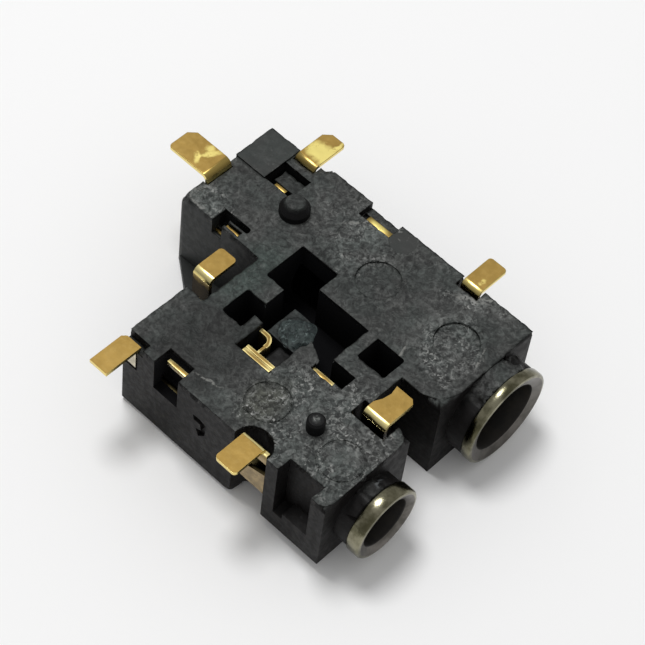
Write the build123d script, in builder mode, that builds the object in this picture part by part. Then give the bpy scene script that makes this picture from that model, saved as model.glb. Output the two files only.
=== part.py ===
import os

from build123d import *

os.makedirs("parts", exist_ok=True)

# Surface-mount audio jack with a 3.5 mm and a 2.5 mm socket in one moulding.
# The board face is z = 0 and looks up, the body hangs below it, and the sockets open towards -Y.
# The origin is the middle of the large locating peg's foot, on the large body's centreline.
# All sizes are in millimetres.

# Large socket body
large_width = 6.1
large_depth = 5.0
large_front = -11.8
large_back = 4.05
rear_step = 0.3
rear_step_at = 0.5
rear_corner_radius = 0.4
rear_slope_run = 0.33
rear_slope_drop = 0.7
rear_slope_round = 0.8
rear_block_rise = 0.08
rear_block_left = 0.37
rear_block_front = 2.3
rear_block_back = 4.13

# Small socket body
small_centre = -7.68
small_width = 5.25
small_front = -11.87
small_back = 0.3
small_depth = 5.0
front_block_depth = 4.45
small_floor_round = 0.25
notch_floor_round = 0.5

# Bridge between the two bodies
bridge_back = -0.75
bridge_front = -9.5
bridge_recess_left = -6.5
web_left = -6.25
web_corner = (-4.05, 2.78)
web_back = 4.1
web_height = 0.5

# Sockets
large_axis_x = 0.2
large_bore_radius = 1.8
large_axis_depth = 2.5
large_bore_end = -0.4
large_tip_radius = 1.15
large_tip_length = 1.35
large_nose_radius = 2.45
large_nose_length = 0.92
small_axis_x = -7.7
small_bore_radius = 1.28
small_axis_depth = 2.38
small_bore_end = -2.2
small_nose_radius = 1.78
small_nose_length = 0.75

# Mouth rings, each a flange on the nose with a shank pressed into it
large_ring_radius = 2.5
large_ring_length = 0.53
small_ring_radius = 1.87
small_ring_length = 0.73
large_bevel_width = 0.4
small_bevel_width = 0.2
ring_bevel_depth = 0.19
ring_edge = 0.06
large_shank_wall = 0.3
small_shank_wall = 0.2
shank_length = 1.2
press_clearance = 0.01

# Locating pegs
large_peg_radius = 0.73
large_peg_straight = 0.32
large_peg_height = 0.75
large_peg_top = 0.44
small_peg_radius = 0.42
small_peg_straight = 0.6
small_peg_height = 0.7
small_peg_top = 0.33
small_peg_y = -8.75

# Ejector-pin marks in the board face
mark_radius = 1.06
mark_groove = 0.05
mark_groove_depth = 0.03
large_mark_places = ((0.03, -5.23), (0.12, -9.87))
large_mark_depths = (0.08, 0.12)
small_mark_places = ((-8.2, -6.46), (-8.05, -10.65))

# Contact sheet and the room round it
sheet = 0.2
foot_rise = 0.1
slot_clearance = 0.03
spring_room = 0.1
bend_radius = 0.25
spring_bend = 0.2
spring_reach = 0.15
foot_corner = 0.2
foot_chamfer = 0.35

# Large sleeve contact: foot on the right side near the front; its turn, lip and bends are shares
# of the room between the leg and the bore
large_sleeve_y = (-8.85, -7.8)
large_sleeve_inset = 0.27
large_sleeve_foot = 1.9
large_sleeve_low = -3.7
large_sleeve_turn = 0.78
large_sleeve_notch = 0.6
large_sleeve_lip = 0.48
large_sleeve_lip_rise = 0.8
large_sleeve_bend = 0.3

# Large ring contact: foot at the right rear, blade inside the right wall
large_ring_y = (1.0, 2.2)
large_ring_inset = 0.7
large_ring_foot = 2.08
large_ring_lift = 0.15
large_ring_z = (-3.4, -0.9)
large_ring_blade_front = -5.3
large_ring_ear = (-3.8, -2.35)
large_ring_ear_width = 0.35
large_ring_ear_z = (-0.52, -0.3)
large_ring_notch = (-3.9, -2.05)
large_ring_notch_margin = 0.13
large_ring_notch_floor = -0.4
large_ring_tongue_root = -2.9

# Large tip contact: wide foot at the back, plate in the rear wall and an arm on each side
large_tip_x = (-1.79, -0.25)
large_tip_inset = 0.18
large_tip_foot = 2.5
large_tip_bend = 0.3
large_tip_lift = 0.36
large_tip_z = (-4.1, -0.75)
large_tip_arm_inset = 0.3
large_tip_arm_z = (-3.3, -0.95)
large_tip_arm_front = 0.1
large_tip_ear = (0.78, 1.6)
stop_arm_plane = 0.72
stop_arm_front = 1.15
stop_arm_z = (-3.0, -0.95)
stop_ear = (1.2, 1.9)
tip_ear_top = -0.15
stop_ear_top = -0.3
rear_recess = 0.3
left_notch_y = (1.6, 2.2)
left_slot_x = (-2.5, -2.17)
left_slot_y = (0.55, 2.2)
left_slot_depth = 1.2
rear_pocket_x = (0.43, 1.8)
rear_pocket_y = (0.7, 2.3)
rear_pocket_floor = -1.15
rear_pad_x = (0.87, 1.62)
rear_pad_back = 2.1
rear_pad_top = -0.35

# Small tip contact: foot behind the bridge, blade through it, bar over the small bore
small_tip_y = (-0.25, 0.76)
small_tip_plane = -5.55
small_tip_foot = 1.65
small_tip_z = (-3.0, -2.1)
small_tip_curl_z = (-1.4, -0.35)
small_tip_curl_y = -4.17
small_tip_curl_radius = 0.4
small_tip_curl_run = 0.52
small_tip_bar_x = (-6.93, -6.53)
small_tip_bar_y = (-5.25, -3.62)
small_tip_bar_z = (-1.5, -0.3)
small_tip_web = 0.12
small_tip_groove = 0.06
small_tip_groove_depth = 0.04

# Small switch contact: foot at the left rear, blade inside the left wall
small_switch_foot_y = (-0.77, 0.27)
small_switch_y = (-0.55, 0.2)
small_switch_outset = -0.04
small_switch_foot = 2.05
small_switch_entry = -1.75
small_switch_plane = -9.66
small_switch_z = (-2.9, -1.6)
small_switch_front = -3.35
small_switch_step = -1.4
small_switch_low_top = -2.1
small_switch_ear = (-3.35, -1.88)
small_switch_ear_z = (-0.5, -0.25)
left_pocket_x = -9.33
left_pocket_y = (-3.1, -1.63)
left_pocket_floor = -2.0
left_corner_x = -9.86
left_corner_front = -0.92
left_corner_floor = -0.5

# Small ring contact: foot and cut leg in the through notch of the left side
small_ring_y = (-8.3, -6.86)
small_ring_foot_y = (-8.08, -6.86)
small_ring_inset = 0.27
small_ring_foot = 1.8
small_ring_low = -3.2
small_ring_turn = 0.54
small_ring_lip = 0.34
small_ring_lip_rise = 0.75
small_ring_bend = 0.15
small_ring_leg_top = -0.12
small_ring_cut = ((-7.3, -1.98), (-8.4, -1.62), (-8.4, -0.8), (-7.3, -0.8))
side_notch_centre = (-10.25, -7.5)
side_notch_radius = 0.95
deep_front = -6.7

# Small sleeve contact: foot between the two bodies, blade in the small body's right wall
small_sleeve_y = (-10.82, -9.53)
small_sleeve_inset = 0.4
small_sleeve_foot = 1.87
small_sleeve_wide = 0.55
small_sleeve_neck = (0.95, -9.72)
small_sleeve_waist = (1.4, -9.8)
small_sleeve_point = -9.7
small_sleeve_z = (-3.2, -1.1)
small_sleeve_back = -6.4
small_sleeve_ear = (-7.7, -6.5)
small_sleeve_ear_top = -0.12
small_sleeve_root = -8.6
front_notch_x = -6.0
front_notch_y = (-11.15, -9.2)

# Recess and slot in the front of the small body's left side, and the gouge behind them
front_recess_x = -9.53
front_recess_y = (-11.05, -9.65)
front_recess_floor = -3.0
front_slot_y = (-9.65, -9.1)
front_slot_floor = -3.4
gouge = (
    (-4.08, -1.4),
    (-4.52, -1.36),
    (-4.9, -1.5),
    (-4.84, -2.31),
    (-4.47, -2.68),
    (-4.29, -2.25),
    (-4.61, -2.11),
    (-4.54, -1.73),
    (-4.15, -1.73),
)
gouge_depth = 0.2

# Openings in the bridge
hole_depth = 3.6
first_hole_x = (-3.45, -1.1)
first_hole_y = (-3.8, -1.63)
second_hole_x = (-6.25, -4.62)
second_hole_y = (-2.85, -1.65)
fourth_hole_x = (-3.66, -2.3)
fourth_hole_y = (-9.0, -7.39)
hole_corner = 0.12
band_y = (-3.65, -2.75)
band_depth = 2.6
finger_tip = -5.4
tip_pocket_x = (-7.1, -5.4)
tip_pocket_y = (-5.4, -3.4)
tip_pocket_split = -4.42
tip_pocket_depth = 1.65
tip_shelf_depth = 0.7
island_x = (-5.4, -3.65)
island_y = (-5.4, -3.65)
island_drop = 0.35
gate_place = (-4.54, -4.6)
gate_radius = 0.82
gate_top_radius = 0.7
gate_height = 0.22


def around(span, margin):
    """The span made longer by the margin at both ends."""
    return (span[0] - margin, span[1] + margin)


def thick(plane):
    """The sheet's thickness about its middle plane."""
    return (plane - sheet / 2, plane + sheet / 2)


def block(x_span, y_span, z_span, mode=Mode.ADD):
    """Straight block between three spans, or a pocket of that size."""
    with BuildSketch(Plane.XY.offset(z_span[0])) as outline:
        with Locations(((x_span[0] + x_span[1]) / 2, (y_span[0] + y_span[1]) / 2)):
            Rectangle(x_span[1] - x_span[0], y_span[1] - y_span[0])
    extrude(outline.sketch, amount=z_span[1] - z_span[0], mode=mode)


def prism(corners, z_span, mode=Mode.ADD):
    """Upright block with a closed straight-sided outline, or a pocket of that shape."""
    with BuildSketch(Plane.XY.offset(z_span[0])) as outline:
        with BuildLine():
            Polyline(*corners, close=True)
        make_face()
    extrude(outline.sketch, amount=z_span[1] - z_span[0], mode=mode)


def round_pocket(x_span, y_span, depth, radius=hole_corner):
    """Pocket in the board face with rounded corners."""
    with BuildSketch(Plane.XY) as outline:
        with Locations(((x_span[0] + x_span[1]) / 2, (y_span[0] + y_span[1]) / 2)):
            RectangleRounded(x_span[1] - x_span[0], y_span[1] - y_span[0], radius)
    extrude(outline.sketch, amount=-depth, mode=Mode.SUBTRACT)


def barrel(axis_x, axis_depth, radius, y_span, mode=Mode.ADD):
    """Round bar or bore along Y."""
    with BuildSketch(Plane.XZ.offset(-y_span[1])) as section:
        with Locations((axis_x, -axis_depth)):
            Circle(radius)
    extrude(section.sketch, amount=y_span[1] - y_span[0], mode=mode)


def peg(x, y, radius, straight, height, top_radius):
    """Locating peg: a cylinder with a cone on it."""
    profile = ((x, 0), (x + radius, 0), (x + radius, straight), (x + top_radius, height), (x, height))
    with BuildSketch(Plane.XZ.offset(-y)) as section:
        with BuildLine():
            Polyline(*profile, close=True)
        make_face()
    revolve(section.sketch, axis=Axis((x, y, 0), (0, 0, 1)))


def sheet_across(points, y_span, radius=bend_radius):
    """Sheet that follows points of the XZ plane, as wide as the span in Y."""
    with BuildSketch(Plane.XZ.offset(-y_span[1])) as section:
        with BuildLine() as path:
            FilletPolyline(*points, radius=radius)
        trace(path.line, line_width=sheet)
    extrude(section.sketch, amount=y_span[1] - y_span[0])


def sheet_along(points, x_span, radius=bend_radius):
    """Sheet that follows points of the YZ plane, as wide as the span in X."""
    with BuildSketch(Plane.YZ.offset(x_span[0])) as section:
        with BuildLine() as path:
            FilletPolyline(*points, radius=radius)
        trace(path.line, line_width=sheet)
    extrude(section.sketch, amount=x_span[1] - x_span[0])


def sheet_upright(points, z_span, radius=spring_bend):
    """Upright sheet that follows points of the board plane, as high as the span in Z."""
    with BuildSketch(Plane.XY.offset(z_span[0])) as section:
        with BuildLine() as path:
            FilletPolyline(*points, radius=radius)
        trace(path.line, line_width=sheet)
    extrude(section.sketch, amount=z_span[1] - z_span[0])


def mouth_ring(axis_x, axis_depth, bore, outer, shank, bevel, nose_front, length):
    """Turned ring: flange with a bevelled mouth, and the shank behind it."""
    mouth = nose_front - length
    profile = (
        (axis_x + bore, nose_front + shank_length),
        (axis_x + bore, mouth + ring_bevel_depth),
        (axis_x + bore + bevel, mouth),
        (axis_x + outer - ring_edge, mouth),
        (axis_x + outer, mouth + ring_edge),
        (axis_x + outer, nose_front - ring_edge),
        (axis_x + outer - ring_edge, nose_front),
        (axis_x + bore + shank, nose_front),
        (axis_x + bore + shank, nose_front + shank_length),
    )
    with BuildSketch(Plane.XY.offset(-axis_depth)) as section:
        with BuildLine():
            Polyline(*profile, close=True)
        make_face()
    revolve(section.sketch, axis=Axis((axis_x, 0, -axis_depth), (0, 1, 0)))


# Places worked out from the sizes
large_left = -large_width / 2
large_right = large_width / 2
rear_right = large_right - rear_step
large_ring_plane = large_right - large_ring_inset
large_tip_arm_plane = large_left + large_tip_arm_inset
rear_face = large_back + rear_slope_run
small_left = small_centre - small_width / 2
small_right = small_centre + small_width / 2
large_nose_front = large_front - large_nose_length
small_nose_front = small_front - small_nose_length
foot_level = foot_rise - sheet / 2
half_sheet = sheet / 2

# Paths of the contacts' sheets
large_ring_ear_x = (large_ring_plane - half_sheet, large_ring_plane - half_sheet + large_ring_ear_width)
large_sleeve_leg = large_right - large_sleeve_inset
large_sleeve_dome = large_axis_x + large_bore_radius - spring_reach + half_sheet
large_sleeve_room = large_sleeve_leg - large_sleeve_dome
large_sleeve_path = (
    (large_sleeve_leg + large_sleeve_foot, foot_level),
    (large_sleeve_leg, foot_level),
    (large_sleeve_leg, large_sleeve_low),
    (large_sleeve_leg - large_sleeve_turn * large_sleeve_room, large_sleeve_low),
    (large_sleeve_dome, -large_axis_depth),
    (large_sleeve_dome + large_sleeve_lip * large_sleeve_room, large_sleeve_lip_rise - large_axis_depth),
)
large_ring_path = (
    (large_ring_plane + large_ring_foot, foot_level + large_ring_lift),
    (large_ring_plane, foot_level + large_ring_lift),
    (large_ring_plane, large_ring_z[1] - sheet),
)
large_ring_tongue = (
    (large_ring_plane, large_ring_tongue_root + 2 * sheet),
    (large_ring_plane, large_ring_tongue_root - sheet),
    (large_sleeve_dome, large_ring_blade_front + 4 * sheet),
    (large_sleeve_dome + sheet, large_ring_blade_front + sheet),
)
large_tip_leg = large_back - large_tip_inset
large_tip_dome = large_axis_x - large_bore_radius + spring_reach - half_sheet
large_tip_path = (
    (large_tip_leg + large_tip_foot, foot_level + large_tip_lift),
    (large_tip_leg, foot_level + large_tip_lift),
    (large_tip_leg, large_tip_z[1] - sheet),
)
large_tip_tongue = (
    (large_tip_arm_plane, large_tip_arm_front + sheet),
    (large_tip_arm_plane, large_tip_arm_front - sheet),
    (large_tip_dome, large_tip_arm_front - 5 * sheet),
    (large_tip_dome - sheet, large_tip_arm_front - 7 * sheet),
)
small_tip_path = (
    (small_tip_plane + small_tip_foot, foot_level),
    (small_tip_plane, foot_level),
    (small_tip_plane, small_tip_z[1] - sheet),
)
small_tip_curl = (
    (small_tip_plane, tip_pocket_y[1]),
    (small_tip_plane, small_tip_curl_y),
    (small_tip_plane - small_tip_curl_run, small_tip_curl_y),
)
small_switch_leg = small_left - small_switch_outset
small_switch_path = (
    (small_switch_leg - small_switch_foot / 2, foot_level),
    (small_switch_leg, foot_level),
    (small_switch_leg, small_switch_entry),
    (small_switch_plane, small_switch_entry),
)
small_ring_leg = small_left + small_ring_inset
small_dome_left = small_axis_x - small_bore_radius + spring_reach - half_sheet
small_ring_room = small_dome_left - small_ring_leg
small_ring_path = (
    (small_ring_leg - small_ring_foot / 2, foot_level),
    (small_ring_leg, foot_level),
    (small_ring_leg, small_ring_low),
    (small_ring_leg + small_ring_turn * small_ring_room, small_ring_low),
    (small_dome_left, -small_axis_depth),
    (small_dome_left - small_ring_lip * small_ring_room, small_ring_lip_rise - small_axis_depth),
)
small_sleeve_plane = small_right - small_sleeve_inset
small_dome_right = small_axis_x + small_bore_radius - spring_reach + half_sheet
small_sleeve_end = small_sleeve_plane + small_sleeve_foot
small_sleeve_outline = (
    (small_sleeve_plane + small_sleeve_wide, small_sleeve_y[1]),
    (small_sleeve_plane + small_sleeve_neck[0], small_sleeve_neck[1]),
    (small_sleeve_plane + small_sleeve_waist[0], small_sleeve_waist[1]),
    (small_sleeve_end, small_sleeve_point),
    (small_sleeve_end, small_sleeve_y[0] + foot_corner),
    (small_sleeve_end - foot_corner, small_sleeve_y[0]),
    (small_sleeve_plane + small_sleeve_wide, small_sleeve_y[0]),
)
small_sleeve_path = (
    (small_sleeve_plane + small_sleeve_wide, foot_level),
    (small_sleeve_plane, foot_level),
    (small_sleeve_plane, small_sleeve_z[1] - sheet),
)
small_sleeve_tongue = (
    (small_sleeve_plane, small_sleeve_root + sheet),
    (small_sleeve_plane, small_sleeve_root - 2 * sheet),
    (small_dome_right, small_sleeve_root - 6.5 * sheet),
    (small_dome_right + sheet, small_sleeve_root - 8.5 * sheet),
)
large_tongue_z = (-large_axis_depth - 2.5 * sheet, -large_axis_depth + 2.5 * sheet)
small_tongue_z = (-small_axis_depth - 2.25 * sheet, -small_axis_depth + 2.25 * sheet)

# Housing
with BuildPart() as housing:
    # Large body, with a step near the rear of its right side
    large_outline = (
        (large_left, large_front),
        (large_right, large_front),
        (large_right, rear_step_at),
        (rear_right, rear_step_at + rear_step / 2),
        (rear_right, rear_face),
        (large_left, rear_face),
    )
    with BuildSketch(Plane.XY.offset(-large_depth)):
        with BuildLine():
            Polyline(*large_outline, close=True)
        make_face()
    extrude(amount=large_depth)

    # Slope from the board face down to the rear face, and the rounded corner on its left
    with BuildSketch(Plane.YZ.offset(large_left)):
        with BuildLine():
            Polyline((large_back, 0), (rear_face, 0), (rear_face, -rear_slope_drop), close=True)
        make_face()
    extrude(amount=large_width, mode=Mode.SUBTRACT)
    slope_foot = (0, rear_face, -rear_slope_drop)
    fillet(housing.edges().filter_by(Axis.X).sort_by_distance(slope_foot)[0], rear_slope_round)
    rear_corner = (large_left, rear_face, -large_depth)
    fillet(housing.edges().filter_by(Axis.Z).sort_by_distance(rear_corner)[0], rear_corner_radius)

    # Smooth rear block, a little proud of the board face
    rear_block_z = (-large_depth, rear_block_rise)
    block((rear_block_left, rear_right), (rear_block_front, rear_block_back), rear_block_z)

    # Small body: shallow front, deep rear and the step of its back edge
    block((small_left, small_right), (small_front, bridge_back), (-front_block_depth, 0))
    block((small_left, small_right), (deep_front, bridge_back), (-small_depth, 0))
    block((small_left, bridge_recess_left), (bridge_back, small_back), (-small_depth, 0))

    # Bridge that ties the small body to the large one
    block((small_right, large_left), (bridge_front, bridge_back), (-front_block_depth, 0))

    # Rounded floor edges at the side notch and along the small body's left side
    notch_floor = (small_centre, deep_front, -small_depth)
    fillet(housing.edges().filter_by(Axis.X).sort_by_distance(notch_floor)[0], notch_floor_round)
    left_edges = housing.edges().filter_by(Axis.Y).group_by(Axis.X)[0]
    fillet(left_edges.group_by(Axis.Z)[0], small_floor_round)

    # Low web in the corner behind the bridge
    web = ((large_left, web_back), web_corner, (web_left, bridge_back), (large_left, bridge_back))
    prism(web, (-large_depth, web_height - large_depth))

    # Noses and pegs
    barrel(large_axis_x, large_axis_depth, large_nose_radius, (large_nose_front, large_front))
    barrel(small_axis_x, small_axis_depth, small_nose_radius, (small_nose_front, small_front))
    peg(0, 0, large_peg_radius, large_peg_straight, large_peg_height, large_peg_top)
    peg(small_centre, small_peg_y, small_peg_radius, small_peg_straight, small_peg_height, small_peg_top)

    # Bores, with a narrower end for the tip of the large plug
    large_bore_y = (large_nose_front, large_bore_end)
    large_tip_y = (large_bore_end, large_bore_end + large_tip_length)
    small_bore_y = (small_nose_front, small_bore_end)
    barrel(large_axis_x, large_axis_depth, large_bore_radius, large_bore_y, Mode.SUBTRACT)
    barrel(large_axis_x, large_axis_depth, large_tip_radius, large_tip_y, Mode.SUBTRACT)
    barrel(small_axis_x, small_axis_depth, small_bore_radius, small_bore_y, Mode.SUBTRACT)

    # Seats for the shanks of the mouth rings
    large_seat_y = (large_nose_front, large_nose_front + shank_length)
    large_seat_radius = large_bore_radius + large_shank_wall + press_clearance
    barrel(large_axis_x, large_axis_depth, large_seat_radius, large_seat_y, Mode.SUBTRACT)
    small_seat_y = (small_nose_front, small_nose_front + shank_length)
    small_seat_radius = small_bore_radius + small_shank_wall + press_clearance
    barrel(small_axis_x, small_axis_depth, small_seat_radius, small_seat_y, Mode.SUBTRACT)

    # Ejector-pin marks: sunk discs in the large body, thin round grooves in the small one
    for place, depth in zip(large_mark_places, large_mark_depths):
        with BuildSketch(Plane.XY):
            with Locations(place):
                Circle(mark_radius)
        extrude(amount=-depth, mode=Mode.SUBTRACT)
    with BuildSketch(Plane.XY):
        with Locations(*small_mark_places):
            Circle(mark_radius)
            Circle(mark_radius - mark_groove, mode=Mode.SUBTRACT)
    extrude(amount=-mark_groove_depth, mode=Mode.SUBTRACT)

    # Large sleeve contact: side notch, and a window into the bore for the spring
    pocket_y = around(large_sleeve_y, spring_room)
    pocket_low = large_sleeve_low - half_sheet - spring_room
    block((large_right - large_sleeve_notch, large_right), pocket_y, (pocket_low, 0), Mode.SUBTRACT)
    window_z = (pocket_low, large_sleeve_lip_rise + 2 * spring_room - large_axis_depth)
    block((large_axis_x + large_bore_radius / 2, large_right), pocket_y, window_z, Mode.SUBTRACT)

    # Large ring contact: blade slot, leg slot, side notch and the tongue's window
    slot_x = around(thick(large_ring_plane), slot_clearance)
    slot_y = around((large_ring_blade_front, large_ring_y[1]), slot_clearance)
    slot_z = around(large_ring_z, slot_clearance)
    block(slot_x, slot_y, slot_z, Mode.SUBTRACT)
    block((slot_x[0], rear_right), around(large_ring_y, slot_clearance), (slot_z[0], 0), Mode.SUBTRACT)
    notch_x = (large_ring_ear_x[0] - large_ring_notch_margin, large_right)
    block(notch_x, large_ring_notch, (large_ring_notch_floor, 0), Mode.SUBTRACT)
    block(slot_x, large_ring_notch, (slot_z[0], 0), Mode.SUBTRACT)
    ear_room = around(large_ring_ear_x, slot_clearance)
    block(ear_room, large_ring_notch, (large_ring_ear_z[0] - slot_clearance, 0), Mode.SUBTRACT)
    window_y = (slot_y[0], large_ring_tongue_root + spring_room)
    window_z = around(large_tongue_z, spring_room)
    block((large_axis_x + large_bore_radius / 2, slot_x[1]), window_y, window_z, Mode.SUBTRACT)

    # Large tip contact: rear notch and recess, slots of both arms and the tongue's window
    notch_y = (large_back - rear_recess, rear_face)
    plate_z = around(large_tip_z, slot_clearance)
    plate_x = around((thick(large_tip_arm_plane)[0], thick(stop_arm_plane)[1]), slot_clearance)
    block(around(large_tip_x, slot_clearance), notch_y, (plate_z[0], 0), Mode.SUBTRACT)
    block(plate_x, notch_y, plate_z, Mode.SUBTRACT)
    slot_x = around(thick(large_tip_arm_plane), slot_clearance)
    slot_z = around(large_tip_arm_z, slot_clearance)
    block(slot_x, (large_tip_arm_front - slot_clearance, large_back), slot_z, Mode.SUBTRACT)
    window_y = (large_tip_arm_front - 8 * sheet, large_tip_arm_front + sheet)
    block((slot_x[0], large_axis_x - large_bore_radius / 2), window_y, window_z, Mode.SUBTRACT)
    block((large_left, left_slot_x[1]), left_notch_y, (slot_z[1], 0), Mode.SUBTRACT)
    block(slot_x, (large_tip_ear[0] - slot_clearance, left_notch_y[1]), (slot_z[1], 0), Mode.SUBTRACT)
    round_pocket(left_slot_x, left_slot_y, left_slot_depth)
    slot_x = around(thick(stop_arm_plane), slot_clearance)
    slot_z = around(stop_arm_z, slot_clearance)
    block(slot_x, (stop_arm_front - slot_clearance, large_back), slot_z, Mode.SUBTRACT)
    block(rear_pocket_x, rear_pocket_y, (rear_pocket_floor, rear_block_rise), Mode.SUBTRACT)
    block(rear_pad_x, (rear_pocket_y[0], rear_pad_back), (rear_pocket_floor, rear_pad_top))

    # Small switch contact: corner notch, entry slot, blade slot and side pocket
    corner_y = (left_corner_front, small_back)
    block((small_left, left_corner_x), corner_y, (left_corner_floor, 0), Mode.SUBTRACT)
    entry_z = around(thick(small_switch_entry), slot_clearance)
    groove_x = (small_left, thick(small_switch_leg)[1] + slot_clearance)
    groove_y = around(small_switch_y, slot_clearance)
    block(groove_x, groove_y, (entry_z[0], 0), Mode.SUBTRACT)
    bend_x = (small_left, small_switch_leg + bend_radius)
    block(bend_x, groove_y, (entry_z[0], small_switch_entry + bend_radius), Mode.SUBTRACT)
    slot_x = around(thick(small_switch_plane), slot_clearance)
    slot_y = around((small_switch_front, small_switch_y[1]), slot_clearance)
    slot_z = around(small_switch_z, slot_clearance)
    block((small_left, slot_x[1]), groove_y, entry_z, Mode.SUBTRACT)
    block(slot_x, slot_y, slot_z, Mode.SUBTRACT)
    block((small_left, left_pocket_x), left_pocket_y, (left_pocket_floor, 0), Mode.SUBTRACT)
    ear_y = (slot_y[0], left_pocket_y[1])
    block(slot_x, ear_y, (slot_z[0], small_switch_ear_z[1] + slot_clearance), Mode.SUBTRACT)

    # Small ring contact: round-backed notch right through, and the spring's window
    with BuildSketch(Plane.XY.offset(-small_depth)):
        with Locations(side_notch_centre):
            Circle(side_notch_radius)
    extrude(amount=small_depth, mode=Mode.SUBTRACT)
    pocket_y = around(small_ring_y, slot_clearance)
    pocket_low = small_ring_low - half_sheet - spring_room
    window_z = (pocket_low, small_ring_lip_rise + 2 * spring_room - small_axis_depth)
    block((small_left, small_axis_x - small_bore_radius / 2), pocket_y, window_z, Mode.SUBTRACT)

    # Small sleeve contact: side notch, blade slot, ear opening and the tongue's window
    notch_z = (small_sleeve_z[0] - 2 * spring_room, 0)
    block((front_notch_x, small_right), front_notch_y, notch_z, Mode.SUBTRACT)
    slot_x = around(thick(small_sleeve_plane), slot_clearance)
    slot_y = (front_notch_y[1], small_sleeve_back + slot_clearance)
    block(slot_x, slot_y, around(small_sleeve_z, slot_clearance), Mode.SUBTRACT)
    block(slot_x, around(small_sleeve_ear, slot_clearance), (small_sleeve_z[0], 0), Mode.SUBTRACT)
    window_y = (small_sleeve_y[0], small_sleeve_root)
    window_z = around(small_tongue_z, spring_room)
    block((small_axis_x + small_bore_radius / 2, slot_x[1]), window_y, window_z, Mode.SUBTRACT)

    # Recess and its deeper slot in the left side near the front
    front_x = (small_left, front_recess_x)
    block(front_x, front_recess_y, (front_recess_floor, 0), Mode.SUBTRACT)
    block(front_x, front_slot_y, (front_slot_floor, 0), Mode.SUBTRACT)

    # Gouge in the left side
    with BuildSketch(Plane.YZ.offset(small_left)):
        with BuildLine():
            Polyline(*gouge, close=True)
        make_face()
    extrude(amount=gouge_depth, mode=Mode.SUBTRACT)

    # Openings in the bridge: two holes joined by a band, one hole by itself
    round_pocket(first_hole_x, first_hole_y, hole_depth)
    round_pocket(second_hole_x, second_hole_y, band_depth)
    round_pocket(fourth_hole_x, fourth_hole_y, hole_depth)
    block((finger_tip, first_hole_x[1] - hole_corner), band_y, (-band_depth, 0), Mode.SUBTRACT)

    # Island in the bridge, lower than the board face, with the stub of the moulding gate
    block(island_x, island_y, (-island_drop, 0), Mode.SUBTRACT)
    with BuildSketch(Plane.XY.offset(-island_drop)):
        with Locations(gate_place):
            Circle(gate_radius)
    with BuildSketch(Plane.XY.offset(gate_height - island_drop)):
        with Locations(gate_place):
            Circle(gate_top_radius)
    loft()

    # Channel beside the island, with its leg towards the front
    channel = (
        (-3.65, band_y[0]),
        (-2.3, band_y[0]),
        (-2.3, -6.8),
        (-4.55, -6.8),
        (-4.55, -8.15),
        (-5.4, -8.15),
        (-5.4, -6.55),
        (-5.05, -6.45),
        (-4.45, -5.35),
        (-3.65, -4.65),
    )
    prism(channel, (-band_depth, 0), Mode.SUBTRACT)

    # Pocket over the small bore, deep beside the bar and shallow in front of the curl
    block(tip_pocket_x, (tip_pocket_split, tip_pocket_y[1]), (-tip_pocket_depth, 0), Mode.SUBTRACT)
    bar_slot_x = (tip_pocket_x[0], small_tip_bar_x[1] + spring_room)
    block(bar_slot_x, around(small_tip_bar_y, spring_room), (-tip_pocket_depth, 0), Mode.SUBTRACT)
    block(tip_pocket_x, (tip_pocket_y[0], tip_pocket_split), (-tip_shelf_depth, 0), Mode.SUBTRACT)

    # Slot through the bridge's rear wall for the small tip contact
    slot_x = around(thick(small_tip_plane), slot_clearance)
    slot_z = around(small_tip_z, slot_clearance)
    riser_y = (tip_pocket_y[1] - sheet - slot_clearance, tip_pocket_y[1])
    block(slot_x, (riser_y[0], bridge_back), slot_z, Mode.SUBTRACT)
    block(slot_x, riser_y, (slot_z[0], 0), Mode.SUBTRACT)
housing.part.label = "housing"
export_step(housing.part, "parts/housing.step")

# Mouth ring of the large socket
with BuildPart() as mouth_ring_large:
    mouth_ring(
        large_axis_x,
        large_axis_depth,
        large_bore_radius,
        large_ring_radius,
        large_shank_wall,
        large_bevel_width,
        large_nose_front,
        large_ring_length,
    )
mouth_ring_large.part.label = "mouth_ring_large"
export_step(mouth_ring_large.part, "parts/mouth_ring_large.step")

# Mouth ring of the small socket
with BuildPart() as mouth_ring_small:
    mouth_ring(
        small_axis_x,
        small_axis_depth,
        small_bore_radius,
        small_ring_radius,
        small_shank_wall,
        small_bevel_width,
        small_nose_front,
        small_ring_length,
    )
mouth_ring_small.part.label = "mouth_ring_small"
export_step(mouth_ring_small.part, "parts/mouth_ring_small.step")

# Large sleeve contact: foot, leg down the side notch and a spring that turns up against the plug
with BuildPart() as large_sleeve_contact:
    sheet_across(large_sleeve_path, large_sleeve_y, large_sleeve_bend * large_sleeve_room)
    tip_edges = large_sleeve_contact.edges().filter_by(Axis.Z).group_by(Axis.X)[-1]
    fillet(tip_edges, foot_corner)
large_sleeve_contact.part.label = "large_sleeve_contact"
export_step(large_sleeve_contact.part, "parts/large_sleeve_contact.step")

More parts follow.
